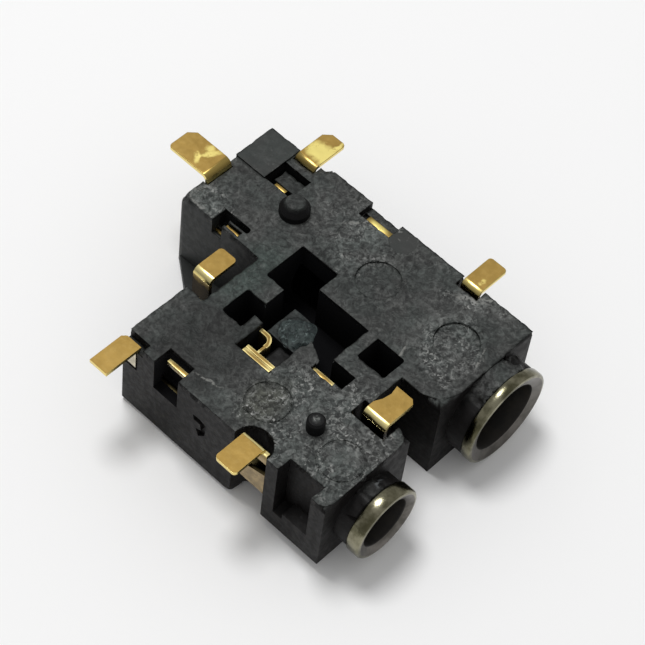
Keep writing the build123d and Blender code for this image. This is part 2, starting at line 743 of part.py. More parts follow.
# Large ring contact: foot, leg, upright blade with its ear, and the tongue lanced out of it
with BuildPart() as large_ring_contact:
    sheet_across(large_ring_path, large_ring_y)
    tip_edges = large_ring_contact.edges().filter_by(Axis.Z).group_by(Axis.X)[-1].sort_by(Axis.Y)
    fillet(tip_edges[0], foot_corner)
    chamfer(tip_edges[-1], foot_chamfer)
    blade_x = thick(large_ring_plane)
    block(blade_x, (large_ring_blade_front, large_ring_y[1]), large_ring_z)
    block(blade_x, large_ring_ear, (large_ring_z[1], large_ring_ear_z[1]))
    block(large_ring_ear_x, large_ring_ear, large_ring_ear_z)
    lance_y = (large_ring_blade_front + sheet, large_ring_tongue_root)
    block(blade_x, lance_y, around(large_tongue_z, spring_room / 2), Mode.SUBTRACT)
    sheet_upright(large_ring_tongue, large_tongue_z)
large_ring_contact.part.label = "large_ring_contact"
export_step(large_ring_contact.part, "parts/large_ring_contact.step")

# Large tip contact: rising foot, plate across the rear wall, spring arm and stop arm
with BuildPart() as large_tip_contact:
    sheet_along(large_tip_path, large_tip_x, large_tip_bend)
    tip_edges = large_tip_contact.edges().filter_by(Axis.Z).group_by(Axis.Y)[-1].sort_by(Axis.X)
    fillet(tip_edges[0], foot_corner)
    chamfer(tip_edges[-1], foot_chamfer)
    plate_y = thick(large_tip_leg)
    plate_x = (thick(large_tip_arm_plane)[0], thick(stop_arm_plane)[1])
    block(plate_x, plate_y, large_tip_z)
    block(thick(large_tip_arm_plane), (large_tip_arm_front, plate_y[1]), large_tip_arm_z)
    block(thick(large_tip_arm_plane), large_tip_ear, (large_tip_arm_z[1], tip_ear_top))
    block(thick(stop_arm_plane), (stop_arm_front, plate_y[1]), stop_arm_z)
    block(thick(stop_arm_plane), stop_ear, (stop_arm_z[1], stop_ear_top))
    sheet_upright(large_tip_tongue, large_tongue_z)
large_tip_contact.part.label = "large_tip_contact"
export_step(large_tip_contact.part, "parts/large_tip_contact.step")

# Small tip contact: foot, blade through the bridge, curl, web and the bar over the bore
with BuildPart() as small_tip_contact:
    sheet_across(small_tip_path, small_tip_y)
    tip_edges = small_tip_contact.edges().filter_by(Axis.Z).group_by(Axis.X)[-1]
    fillet(tip_edges, foot_corner)
    blade_x = thick(small_tip_plane)
    block(blade_x, small_tip_y, (small_tip_z[0], -sheet))
    block(blade_x, (tip_pocket_y[1], small_tip_y[1]), small_tip_z)
    block(blade_x, (tip_pocket_y[1] - sheet, tip_pocket_y[1]), (small_tip_z[0], small_tip_curl_z[1]))
    sheet_upright(small_tip_curl, small_tip_curl_z, small_tip_curl_radius)
    web_y = (small_tip_curl_y - small_tip_web / 2, small_tip_curl_y + small_tip_web / 2)
    block((small_tip_bar_x[0], small_tip_curl[2][0]), web_y, small_tip_curl_z)
    block(small_tip_bar_x, small_tip_bar_y, small_tip_bar_z)
    bar_middle = sum(small_tip_bar_x) / 2
    groove_x = (bar_middle - small_tip_groove / 2, bar_middle + small_tip_groove / 2)
    groove_z = (small_tip_bar_z[1] - small_tip_groove_depth, small_tip_bar_z[1])
    block(groove_x, small_tip_bar_y, groove_z, Mode.SUBTRACT)
small_tip_contact.part.label = "small_tip_contact"
export_step(small_tip_contact.part, "parts/small_tip_contact.step")

# Small switch contact: foot, leg that enters the left wall, blade and the ear in the side pocket
with BuildPart() as small_switch_contact:
    foot_x = (small_switch_leg - small_switch_foot, small_switch_leg)
    block(foot_x, small_switch_foot_y, thick(foot_level))
    back_edges = small_switch_contact.edges().filter_by(Axis.Z).sort_by(Axis.Y)[-2:]
    chamfer(back_edges.sort_by(Axis.X)[-1], foot_corner)
    sheet_across(small_switch_path, small_switch_y)
    blade_x = thick(small_switch_plane)
    block(blade_x, (small_switch_step, small_switch_y[1]), small_switch_z)
    block(blade_x, (small_switch_front, small_switch_step), (small_switch_z[0], small_switch_low_top))
    post_y = (small_switch_ear[0], small_switch_ear[0] + sheet)
    block(blade_x, post_y, (small_switch_low_top, small_switch_ear_z[1]))
    block(blade_x, small_switch_ear, small_switch_ear_z)
small_switch_contact.part.label = "small_switch_contact"
export_step(small_switch_contact.part, "parts/small_switch_contact.step")

# Small ring contact: foot, leg cut open from the front and a spring that turns up against the plug
with BuildPart() as small_ring_contact:
    sheet_across(small_ring_path, small_ring_y, small_ring_bend)
    bare_x = (small_ring_leg - small_ring_foot, small_ring_leg + sheet)
    bare_y = (small_ring_y[0], small_ring_foot_y[0])
    block(bare_x, bare_y, (small_ring_leg_top, foot_rise), Mode.SUBTRACT)
    foot_x = (small_ring_leg - small_ring_foot, small_ring_leg - small_ring_foot / 3)
    block(foot_x, small_ring_foot_y, thick(foot_level))
    tip_edges = small_ring_contact.edges().filter_by(Axis.Z).group_by(Axis.X)[0]
    fillet(tip_edges, foot_corner)
    with BuildSketch(Plane.YZ.offset(thick(small_ring_leg)[0])):
        with BuildLine():
            Polyline(*small_ring_cut, close=True)
        make_face()
    extrude(amount=sheet, mode=Mode.SUBTRACT)
small_ring_contact.part.label = "small_ring_contact"
export_step(small_ring_contact.part, "parts/small_ring_contact.step")

# Small sleeve contact: necked foot, leg, blade with its ear, and the tongue lanced out of it
with BuildPart() as small_sleeve_contact:
    sheet_across(small_sleeve_path, small_sleeve_y)
    prism(small_sleeve_outline, thick(foot_level))
    blade_x = thick(small_sleeve_plane)
    block(blade_x, small_sleeve_y, (small_sleeve_z[0], -sheet))
    block(blade_x, (small_sleeve_y[1], small_sleeve_back), small_sleeve_z)
    block(blade_x, small_sleeve_ear, (small_sleeve_z[1], small_sleeve_ear_top))
    lance_y = (small_sleeve_tongue[3][1] - sheet, small_sleeve_root)
    block(blade_x, lance_y, around(small_tongue_z, spring_room / 2), Mode.SUBTRACT)
    sheet_upright(small_sleeve_tongue, small_tongue_z)
small_sleeve_contact.part.label = "small_sleeve_contact"
export_step(small_sleeve_contact.part, "parts/small_sleeve_contact.step")
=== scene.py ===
import math

import bmesh
import bpy
from mathutils import Matrix, Vector, noise


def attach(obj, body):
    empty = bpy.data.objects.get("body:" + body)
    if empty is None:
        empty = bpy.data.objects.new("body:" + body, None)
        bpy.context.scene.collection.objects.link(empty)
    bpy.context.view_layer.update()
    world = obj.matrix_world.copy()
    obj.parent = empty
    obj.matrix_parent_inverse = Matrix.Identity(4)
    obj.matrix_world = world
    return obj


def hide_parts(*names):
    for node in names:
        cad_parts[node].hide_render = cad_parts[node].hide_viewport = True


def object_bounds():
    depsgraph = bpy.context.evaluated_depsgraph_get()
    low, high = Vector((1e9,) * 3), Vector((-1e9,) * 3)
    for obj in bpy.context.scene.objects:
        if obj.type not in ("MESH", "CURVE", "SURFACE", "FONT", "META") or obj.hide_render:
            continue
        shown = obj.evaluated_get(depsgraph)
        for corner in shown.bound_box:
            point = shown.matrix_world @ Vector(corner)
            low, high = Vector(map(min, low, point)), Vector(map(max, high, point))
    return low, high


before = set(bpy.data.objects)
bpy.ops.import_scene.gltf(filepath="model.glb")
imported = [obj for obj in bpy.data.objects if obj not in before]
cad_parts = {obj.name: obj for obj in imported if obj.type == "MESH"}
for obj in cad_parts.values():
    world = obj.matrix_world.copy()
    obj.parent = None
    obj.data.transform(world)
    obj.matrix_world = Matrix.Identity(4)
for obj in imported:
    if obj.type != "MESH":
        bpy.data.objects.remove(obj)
cad_low, cad_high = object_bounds()

# Sizes and places below are in millimetres, in the frame of the CAD
MM = 0.001
LARGE_PEG = (0.0, 0.0)
SMALL_PEG = (-7.68, -8.75)
MARKS = ((0.03, -5.23), (0.12, -9.87), (-8.2, -6.46), (-8.05, -10.65))
MARK_REACH = 1.16
GATE = (-4.54, -4.6)
ISLAND = -0.35
ISLAND_REACH = 0.9

# Patches on the board face, each as x, y, angle, half length, half width, soft edge and, where the
# patches differ in strength, an amount
# Painted sheen and shade: patches where the board face is lighter or darker, standing for the glossy light
# across it
FACE_SHEEN_AND_SHADE = (
    (-7.9, -2.5, 0, 2.7, 1.9, 0.35, -0.42),
    (-9.9, -0.9, 45, 0.9, 0.5, 0.6, -0.2),
    (-0.3, -5.8, 15, 1.9, 1.6, 0.5, -0.14),
    (0.9, -3.2, 20, 1.4, 0.9, 0.5, 0.42),
    (0.0, -9.2, 10, 1.6, 1.3, 0.5, 0.36),
    (2.5, -9.4, -70, 1.3, 0.6, 0.6, 0.5),
    (0.3, -11.9, 0, 2.8, 0.5, 0.6, -0.25),
    (-7.6, -8.9, 90, 3.0, 2.8, 0.3, 0.22),
    (-2.5, 3.1, 80, 0.85, 0.45, 0.5, 0.75),
    (-4.0, -0.7, 0, 1.2, 0.7, 0.7, -0.1),
)
FLAKE_SHADES = (
    (-7.7, -9.0, 90, 3.3, 3.0, 0.35, 0.85),
    (-8.4, -6.2, 0, 1.5, 1.2, 0.5, 0.2),
    (1.2, -3.0, 0, 2.4, 2.0, 0.5, 0.35),
    (-0.4, -9.9, 20, 1.8, 1.2, 0.4, 0.75),
    (2.4, -9.0, -62, 1.4, 0.5, 0.5, 0.95),
    (-2.4, 2.9, 80, 1.1, 0.7, 0.5, 0.9),
    (-8.0, -2.4, 0, 3.0, 1.9, 0.4, -0.15),
)
SCUFFS = (
    (2.25, -8.75, -62, 0.75, 0.07, 0.6),
    (2.62, -9.05, -58, 0.9, 0.08, 0.6),
    (1.75, -2.4, -40, 0.7, 0.05, 0.6),
    (-2.1, -8.6, 20, 0.5, 0.06, 0.6),
    (-9.3, -3.9, -75, 0.6, 0.05, 0.6),
    (0.2, -11.2, 20, 0.6, 0.05, 0.6),
    (-5.6, -11.2, 70, 0.5, 0.05, 0.6),
    (-2.9, 3.3, 85, 0.6, 0.06, 0.6),
)
NOSE_SCUFFS = (
    (-0.45, -12.25, 30, 0.4, 0.16, 0.6, 1.0),
    (-7.3, -12.2, 20, 0.35, 0.12, 0.6, 0.7),
)
SMOOTH_DISC = (2.42, -4.5, 0, 0.66, 0.66, 0.06)
PEG_TOPS = ((*LARGE_PEG, 0, 0.5, 0.5, 0.15), (*SMALL_PEG, 0, 0.17, 0.17, 0.6))
PEG_FEET = ((*LARGE_PEG, 0, 0.95, 0.95, 0.03), (*SMALL_PEG, 0, 0.6, 0.6, 0.03))
BRIDGE_PATCH = (-3.9, -1.0, 0, 1.9, 1.0, 0.6)
MARK_PATCH = (-8.3, -6.3, 0, 1.1, 0.8, 0.7)
ISLAND_PATCH = (-4.7, -4.6, 0, 1.4, 1.3, 0.5)

# The raised rear block reaches back and right from this corner. A pocket is low x, high x, low y, high y.
REAR_BLOCK = (0.3, 2.35)
# Openings whose walls and floors below the face are painted with shade
POCKETS = (
    (-10.3, -9.3, -3.15, -1.6),
    (-2.56, -2.1, 0.5, 2.22),
    (0.4, 1.85, 0.65, 2.35),
    (-6.35, -1.05, -9.1, -1.55),
)

# Colours of the moulding
FACE_COOL = (0.043, 0.048, 0.0455)
FACE_WARM = (0.0465, 0.0485, 0.0465)
BRIDGE_GREEN = (0.037, 0.049, 0.044)
MARK_OLIVE = (0.047, 0.049, 0.041)
# Painted shade on the sunk island round the gate, with a teal tint
ISLAND_SHADE = (0.020, 0.027, 0.0265)
FLAKE = (0.25, 0.255, 0.245)
# Painted glints: specks standing for tiny glossy facets that catch the lamp
PAINTED_GLINT = (0.36, 0.36, 0.345)
SCUFF = (0.24, 0.24, 0.225)
SIDE_DARK = (0.0042, 0.0036, 0.0035)
SIDE_LIGHT = (0.0090, 0.0083, 0.0082)
SIDE_REAR = (0.024, 0.026, 0.025)
SIDE_PAINTED_GLINT = (0.09, 0.09, 0.09)
PEG_SIDE = (0.0018, 0.0018, 0.0020)
NOSE_SCUFF = (0.13, 0.14, 0.145)
# Painted shade in the openings
POCKET_SHADE = (0.0030, 0.0030, 0.0037)

# Colours of the gold plating
OCHRE_DARK = (0.345, 0.222, 0.060)
OCHRE_LIGHT = (0.385, 0.252, 0.072)
OCHRE_SPECK = (0.47, 0.34, 0.13)
# Painted highlight on patches of the flat faces
PAINTED_LEMON_HIGHLIGHT = (0.97, 0.82, 0.27)
# Painted highlights: lemon on the bends and along the rims of the feet
CREST_HIGHLIGHT = (0.98, 0.84, 0.38)
RIM_HIGHLIGHT = (0.85, 0.68, 0.24)
# Painted light and shade on the legs: a lighter top, dark olive and brown where a leg goes down into shade,
# pale and tan where a leg catches light, and near black deep in the slots
LEG_TOP = (0.22, 0.155, 0.045)
DEEP_SHADE = (0.06, 0.048, 0.022)
OLIVE = (0.07, 0.058, 0.02)
BROWN = (0.045, 0.032, 0.015)
PALE = (0.62, 0.56, 0.42)
TAN = (0.38, 0.28, 0.14)


class Look:
    """A procedural material: short calls that add and join its nodes. Coordinates are in millimetres."""

    def __init__(self, name):
        self.material = bpy.data.materials.new(name)
        self.material.use_nodes = True
        self.tree = self.material.node_tree
        self.shader = self.tree.nodes["Principled BSDF"]
        place = self.tree.nodes.new("ShaderNodeTexCoord")
        self.place = self.vector("SCALE", place.outputs["Object"], scale=1 / MM)
        self.x, self.y, self.z = self.parts(self.place)
        facing = self.tree.nodes.new("ShaderNodeNewGeometry")
        self.nz = self.parts(facing.outputs["Normal"])["Z"]

    def put(self, socket, value):
        """A number or colour is set on the socket, and another socket is linked to it."""
        if isinstance(value, bpy.types.NodeSocket):
            self.tree.links.new(value, socket)
        else:
            socket.default_value = value

    def parts(self, vector):
        split = self.tree.nodes.new("ShaderNodeSeparateXYZ")
        self.tree.links.new(vector, split.inputs[0])
        return split.outputs

    def vector(self, operation, a, b=None, scale=None):
        node = self.tree.nodes.new("ShaderNodeVectorMath")
        node.operation = operation
        self.put(node.inputs[0], a)
        if b is not None:
            self.put(node.inputs[1], b)
        if scale is not None:
            self.put(node.inputs["Scale"], scale)
        return node.outputs[0]

    def math(self, operation, a, b=0.0, clamp=False):
        node = self.tree.nodes.new("ShaderNodeMath")
        node.operation = operation
        node.use_clamp = clamp
        self.put(node.inputs[0], a)
        self.put(node.inputs[1], b)
        return node.outputs[0]

    def times(self, first, *others, clamp=False):
        """The values multiplied."""
        for other in others:
            first = self.math("MULTIPLY", first, other, clamp)
        return first

    def most(self, first, *others):
        """The largest of the values."""
        for other in others:
            first = self.math("MAXIMUM", first, other)
        return first

    def inverse(self, value):
        """What the value leaves of 1."""
        return self.math("SUBTRACT", 1.0, value)

    def turned(self, angle, stretch, where=None):
        """Coordinates turned about Z and stretched, for streaks that run one way."""
        node = self.tree.nodes.new("ShaderNodeMapping")
        node.vector_type = "TEXTURE"
        self.put(node.inputs["Vector"], where or self.place)
        node.inputs["Rotation"].default_value = (0, 0, math.radians(angle))
        node.inputs["Scale"].default_value = stretch
        return node.outputs[0]

    def noise(self, scale, detail=3.0, rough=0.5, where=None, distortion=0.0):
        node = self.tree.nodes.new("ShaderNodeTexNoise")
        self.put(node.inputs["Vector"], where or self.place)
        node.inputs["Scale"].default_value = scale
        node.inputs["Detail"].default_value = detail
        node.inputs["Roughness"].default_value = rough
        node.inputs["Distortion"].default_value = distortion
        return node.outputs["Fac"]

    def warped(self, scale, detail, reach):
        """Coordinates pushed about by noise, by up to about half the reach."""
        node = self.tree.nodes.new("ShaderNodeTexNoise")
        self.put(node.inputs["Vector"], self.place)
        node.inputs["Scale"].default_value = scale
        node.inputs["Detail"].default_value = detail
        middle = self.vector("SUBTRACT", node.outputs["Color"], (0.5, 0.5, 0.5))
        return self.vector("ADD", self.place, self.vector("SCALE", middle, scale=reach))

    def patch(self, where, x, y, angle, length, width, edge):
        """1 inside an ellipse seen from above, from its half length and half width, with a soft edge."""
        node = self.tree.nodes.new("ShaderNodeMapping")
        node.vector_type = "TEXTURE"
        self.put(node.inputs["Vector"], where)
        node.inputs["Location"].default_value = (x, y, 0)
        node.inputs["Rotation"].default_value = (0, 0, math.radians(angle))
        node.inputs["Scale"].default_value = (length, width, 1000)
        far = self.tree.nodes.new("ShaderNodeVectorMath")
        far.operation = "LENGTH"
        self.tree.links.new(node.outputs[0], far.inputs[0])
        return self.between(far.outputs["Value"], 1 - edge, 1 + edge, 1.0, 0.0)

    def patches(self, where, start, places):
        """The start value with each patch's amount added. The amount is the last number of a place."""
        for *shape, amount in places:
            start = self.math("ADD", start, self.times(self.patch(where, *shape), amount))
        return start

    def box(self, low_x, high_x, low_y, high_y):
        """1 inside a rectangle seen from above."""
        across = self.times(self.step(self.x, low_x), self.step(high_x, self.x))
        along = self.times(self.step(self.y, low_y), self.step(high_y, self.y))
        return self.times(across, along)

    def step(self, value, limit):
        """1 where the value is above the limit, and 0 below it."""
        return self.math("GREATER_THAN", value, limit)

    def mix_number(self, share, a, b):
        node = self.tree.nodes.new("ShaderNodeMix")
        self.put(node.inputs["Factor"], share)
        self.put(node.inputs["A"], a)
        self.put(node.inputs["B"], b)
        return node.outputs[0]

    def between(self, value, low, high, to_low=0.0, to_high=1.0):
        """The value from low to high, spread smoothly from to_low to to_high and held at both ends."""
        node = self.tree.nodes.new("ShaderNodeMapRange")
        node.interpolation_type = "SMOOTHSTEP"
        self.put(node.inputs["Value"], value)
        node.inputs["From Min"].default_value = low
        node.inputs["From Max"].default_value = high
        node.inputs["To Min"].default_value = to_low
        node.inputs["To Max"].default_value = to_high
        return node.outputs["Result"]

    def mix(self, share, a, b):
        """The colour a, with the share of it that turns into b."""
        node = self.tree.nodes.new("ShaderNodeMix")
        node.data_type = "RGBA"
        self.put(node.inputs["Factor"], share)
        for socket, colour in ((node.inputs[6], a), (node.inputs[7], b)):
            self.put(socket, colour if isinstance(colour, bpy.types.NodeSocket) else (*colour, 1))
        return node.outputs[2]

    def bump(self, height, distance, strength=1.0, before=None):
        """Fine relief, with the height's full range as deep as the distance."""
        node = self.tree.nodes.new("ShaderNodeBump")
        node.inputs["Strength"].default_value = strength
        node.inputs["Distance"].default_value = distance * MM
        self.put(node.inputs["Height"], height)
        if before is not None:
            self.put(node.inputs["Normal"], before)
        return node.outputs["Normal"]

    def set(self, **values):
        """Sets or links the shader's sockets by name, and gives back the material."""
        for name, value in values.items():
            socket = self.shader.inputs[name.replace("_", " ")]
            if isinstance(value, tuple):
                value = (*value, 1)
            self.put(socket, value)
        return self.material


class Moulding(Look):
    """Black glass-filled plastic: mottled and flaked on the board side, smooth and darker on the sides,
    with painted sheen, glints and shade.
    """

    def __init__(self):
        super().__init__("black_moulding")
        self.wander = self.warped(1.3, 3, 0.9)
        self.near = self.warped(2.2, 3, 0.4)
        self.mottle = self.noise(1.75, 3, 0.62, distortion=1.9)
        self.fine = self.noise(4.6, 3, 0.6, distortion=0.8)
        self.gather = self.patches(self.wander, 0.48, FLAKE_SHADES)
        self.cluster = self.between(self.noise(0.95, 3, 0.6), 0.42, 0.62)
        # Painted glints: small pale specks in clusters
        speck = self.between(self.noise(5.2, 2, 0.5, self.near), 0.62, 0.70)
        self.painted_glints = self.times(speck, self.cluster)
        left, front = REAR_BLOCK
        block = self.times(self.step(self.y, front), self.step(self.x, left))
        self.calm = self.most(self.patch(self.place, *SMOOTH_DISC), self.times(block, 0.8))
        feet = self.most(*(self.patch(self.place, *place) for place in PEG_FEET))
        self.on_peg = self.times(feet, self.step(self.z, 0.012))

    def face_share(self):
        """1 on the board face and in its marks, less on the peg tops, and 0 on the sides and on deep
        floors, which take the side colour as painted shade.
        """
        up = self.between(self.nz, 0.35, 0.85)
        for x, y in MARKS:
            up = self.most(up, self.patch(self.place, x, y, 0, MARK_REACH, MARK_REACH, 0.03))
        tops = self.most(*(self.patch(self.place, *place) for place in PEG_TOPS))
        up = self.mix_number(self.on_peg, up, self.times(tops, 0.72))
        # Floors sunk below the face fade to the dark side colour: painted shade
        return self.times(up, self.between(self.z, -0.85, -0.1))

    def flakes(self):
        """Short pale flakes that run three ways and gather in clusters, with a few veins."""
        runs = []
        for angle, scale in ((22, 1.9), (80, 2.2), (137, 1.7)):
            streak = self.noise(scale, 2, 0.5, self.turned(angle, (1.0, 0.33, 0.5), self.near))
            runs.append(self.between(streak, 0.59, 0.69))
        flakes = self.times(self.most(*runs), self.between(self.fine, 0.40, 0.56))
        wave = self.noise(1.55, 2, 0.55, distortion=1.8)
        ridge = self.math("ABSOLUTE", self.math("SUBTRACT", wave, 0.5))
        veins = self.times(self.between(ridge, 0.012, 0.07, 0.6, 0), self.between(self.fine, 0.46, 0.58))
        return self.times(
            self.most(flakes, veins),
            self.between(self.cluster, 0, 1, 0.3, 1.0),
            self.between(self.gather, 0.25, 1.3, 0.05, 1.0),
            self.inverse(self.calm),
        )

    def unevenness(self):
        """Crumpled light and dark mottling with pits, round a middle of about 1."""
        uneven = self.times(
            self.between(self.mottle, 0.35, 0.65, 0.48, 1.52),
            self.between(self.fine, 0.33, 0.67, 0.68, 1.34),
        )
        uneven = self.mix_number(self.between(self.gather, 0.2, 1.2, 0.6, 1.15), 1.0, uneven)
        cloud = self.between(self.noise(0.8, 4, 0.6), 0.3, 0.7, 0.84, 1.18)
        pits = self.between(self.noise(2.6, 4, 0.62), 0.32, 0.40, 1.0, 0.0)
        uneven = self.times(uneven, cloud, self.inverse(self.times(pits, 0.45)))
        return self.mix_number(self.calm, uneven, 0.95)

    def face(self):
        """The colour of the board face, with painted sheen, shade and glints."""
        tint = self.mix(self.between(self.noise(0.5, 3, 0.6), 0.4, 0.6), FACE_COOL, FACE_WARM)
        tint = self.mix(self.patch(self.wander, *BRIDGE_PATCH), tint, BRIDGE_GREEN)
        tint = self.mix(self.patch(self.wander, *MARK_PATCH), tint, MARK_OLIVE)
        # Painted shade on the sunk island, with a teal tint
        island = self.times(self.step(-0.2, self.z), self.patch(self.wander, *ISLAND_PATCH), 0.8)
        tint = self.mix(island, tint, ISLAND_SHADE)
        # Painted sheen and shade from the patches
        shade = self.patches(self.wander, 1.0, FACE_SHEEN_AND_SHADE)
        face = self.vector("SCALE", tint, scale=self.times(self.unevenness(), shade))
        face = self.mix(self.flakes(), face, FLAKE)
        painted_glints = self.times(self.painted_glints, self.between(self.gather, 0.3, 1.2, 0.0, 0.9))
        face = self.mix(painted_glints, face, PAINTED_GLINT)
        scuffs = self.patches(self.near, 0.0, [(*place, 1.0) for place in SCUFFS])
        return self.mix(self.times(scuffs, self.between(self.fine, 0.38, 0.55), 0.7), face, SCUFF)

    def side(self):
        """The colour of the sides, with faint smudges and a few painted glints, a little lighter at the
        left rear.
        """
        side = self.mix(self.between(self.noise(1.1, 4, 0.6), 0.35, 0.68), SIDE_DARK, SIDE_LIGHT)
        rear = self.times(self.between(self.y, -0.5, 1.6), self.between(self.x, -3.3, -1.2, 1.0, 0.0))
        side = self.mix(rear, side, SIDE_REAR)
        # A few painted glints on the sides
        side = self.mix(self.times(self.painted_glints, 0.12), side, SIDE_PAINTED_GLINT)
        side = self.mix(self.on_peg, side, PEG_SIDE)
        scuffs = self.patches(self.near, 0.0, NOSE_SCUFFS)
        return self.mix(self.times(scuffs, self.between(self.fine, 0.44, 0.56)), side, NOSE_SCUFF)

    def inside(self):
        """1 in the openings, from a little below the face, where the colour is painted shade."""
        pocket = self.most(*(self.box(*corners) for corners in POCKETS))
        wall = self.times(self.step(0.3, self.nz), self.between(self.z, -0.16, -0.06, 1, 0))
        return self.times(pocket, self.most(self.between(self.z, -1.3, -0.9, 1, 0), wall))

    def finished(self):
        """The material, with the face, the sides and the painted shade of the openings joined."""
        top = self.face_share()
        inside = self.inside()
        colour = self.mix(top, self.mix(inside, self.side(), POCKET_SHADE), self.face())
        relief = self.math("ADD", self.times(self.mottle, 0.6), self.times(self.fine, 0.4))
        strength = self.times(self.between(top, 0, 1, 0.25, 1), self.inverse(self.times(self.calm, 0.8)))
        normal = self.bump(self.times(relief, strength), 0.12, 0.6)
        normal = self.bump(self.noise(11, 4, 0.6), 0.010, 0.4, normal)
        rough = self.between(self.noise(3.0, 4, 0.6), 0.3, 0.7, 0.44, 0.6)
        rough = self.mix_number(inside, rough, 0.95)
        return self.set(Base_Color=colour, Roughness=rough, Specular_IOR_Level=0.16, Normal=normal)


def gate_look():
    """The torn stub of the moulding gate: greenish grey and rough, with painted glints."""
    look = Look("torn_moulding")
    lump = look.noise(3.0, 6, 0.7, distortion=0.9)
    glint = look.between(look.noise(5.5, 4, 0.65, look.warped(3.0, 3, 0.3)), 0.56, 0.68)
    base = look.mix(look.between(lump, 0.36, 0.64), (0.010, 0.015, 0.0155), (0.050, 0.066, 0.064))
    # Painted glints on the torn stub
    base = look.mix(look.times(glint, 0.7), base, (0.17, 0.215, 0.21))
    normal = look.bump(lump, 0.10, 0.8)
    return look.set(Base_Color=base, Roughness=0.5, Specular_IOR_Level=0.25, Normal=normal)


def scaled(colour, amount):
    return tuple(amount * part for part in colour)


def gold_look(name, leg, highlight_patches=(), tone=1.0, crest_highlight=CREST_HIGHLIGHT, leg_metal=1.0):
    """Satin gold plating: ochre on the flat faces, with painted lemon highlights on the bends and rims, and
    painted shade that darkens down the legs.
    Highlight patches are places of painted lemon highlight on the flat faces. A tone under 1 darkens the
    ochre as painted shade, and a leg metal under 1 makes a leg less metallic and rougher below the foot, as
    painted shade."""
    look = Look(name)
    fine = look.noise(5.0, 3, 0.6)

    # Flat faces
    soft = look.between(look.noise(1.0, 3, 0.5), 0.3, 0.7)
    # Painted shade: a tone under 1 gives a darker copy of the ochre for some contacts
    rolled = look.mix(soft, scaled(OCHRE_DARK, tone), scaled(OCHRE_LIGHT, tone))
    rolled = look.mix(look.times(look.between(fine, 0.45, 0.7), 0.15), rolled, OCHRE_SPECK)
    # Painted highlight patches on the flat faces, broken up by noise
    painted_highlight = look.patches(look.warped(4.0, 3, 0.3), 0.0, highlight_patches)
    painted_highlight = look.times(painted_highlight, look.between(look.noise(2.6, 3, 0.6), 0.26, 0.46), clamp=True)
    rolled = look.mix(painted_highlight, rolled, PAINTED_LEMON_HIGHLIGHT)

    # Leg, rim and bend
    # Painted shade: a leg darkens from its top down
    patchy = look.between(look.noise(2.2, 4, 0.6), 0.35, 0.65)
    below = look.mix(patchy, scaled(leg, 0.6), leg)
    height = look.math("ADD", look.z, look.times(patchy, 0.2))
    below = look.mix(look.between(height, -0.5, -0.15, 1, 0), LEG_TOP, below)
    # Painted highlight along the rims of the feet and on the bends, dimmer where they turn steeply down
    rim = look.mix(look.between(look.z, -0.24, -0.16), below, RIM_HIGHLIGHT)
    turn = look.mix(look.between(look.nz, 0.6, 0.95), scaled(crest_highlight, 0.55), crest_highlight)
    bend = look.between(look.nz, 0.12, 0.6)
    flat = look.between(look.nz, 0.975, 0.997)
    colour = look.mix(flat, look.mix(bend, rim, turn), rolled)
    # Painted shade on the bends deep in the slots
    colour = look.mix(look.times(bend, look.between(look.z, -1.5, -1.0, 1, 0)), colour, DEEP_SHADE)

    normal = look.bump(look.noise(1.3, 2, 0.5), 0.02, 0.5)
    normal = look.bump(fine, 0.004, 0.5, normal)
    rough = look.mix_number(flat, 0.27, look.between(fine, 0.3, 0.7, 0.38, 0.46))
    rough = look.mix_number(painted_highlight, rough, 0.34)
    metal = 1.0
    # Painted shade: below the foot such a leg is less metallic and rougher, so it reads dark
    if leg_metal < 1:
        leg_shade = look.between(look.z, -0.4, -0.2, 1, 0)
        metal = look.mix_number(leg_shade, 1.0, leg_metal)
        rough = look.mix_number(leg_shade, rough, 0.7)
    return look.set(
        Base_Color=colour, Metallic=metal, Roughness=rough, Specular_IOR_Level=0.16, Normal=normal
    )


def nickel_look(name, part):
    """Turned nickel plating: olive on the barrel, greyer on the mouth, and black brown in the bore, which
    is painted shade.
    """
    look = Look(name)
    patch = look.between(look.noise(1.1, 4, 0.6), 0.35, 0.65)
    if part == "bore":
        # Painted shade in the bore
        colour = look.mix(patch, (0.006, 0.005, 0.004), (0.016, 0.013, 0.009))
        return look.set(Base_Color=colour, Roughness=0.5, Specular_IOR_Level=0.3)
    if part == "mouth":
        colour = look.mix(patch, (0.085, 0.080, 0.070), (0.16, 0.148, 0.135))
        rough = 0.36
    else:
        colour = look.mix(patch, (0.085, 0.080, 0.046), (0.26, 0.245, 0.170))
        rough = look.between(look.noise(4.0, 3, 0.6), 0.3, 0.7, 0.15, 0.24)
    turned = look.noise(22, 2, 0.5, look.turned(0, (7.0, 0.3, 7.0)))
    return look.set(Base_Color=colour, Metallic=1.0, Roughness=rough, Normal=look.bump(turned, 0.003, 0.35))


def piece_from(mesh, name, materials, slot, *stands_for):
    """A finished piece on the one body, with its materials. The slot is not used."""
    piece = bpy.data.objects.new(name, mesh)
    bpy.context.scene.collection.objects.link(piece)
    for material in materials:
        mesh.materials.append(material)
    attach(piece, "root")
    if stands_for:
        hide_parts(*stands_for)
    return piece


def mesh_from(shape, name):
    """Turns the working shape into a mesh and frees it."""
    mesh = bpy.data.meshes.new(name)
    shape.to_mesh(mesh)
    shape.free()
    return mesh


def weighted(piece):
    """Smooth shading that keeps large flat faces flat."""
    for face in piece.data.polygons:
        face.use_smooth = True
    even = piece.modifiers.new("even", "WEIGHTED_NORMAL")
    even.mode = "FACE_AREA_WITH_ANGLE"
    even.weight = 60


# Distances of a cut: what a face has to reach past it, and what counts as lying on it
CUT_PAST = 0.001
CUT_ON = 0.0005


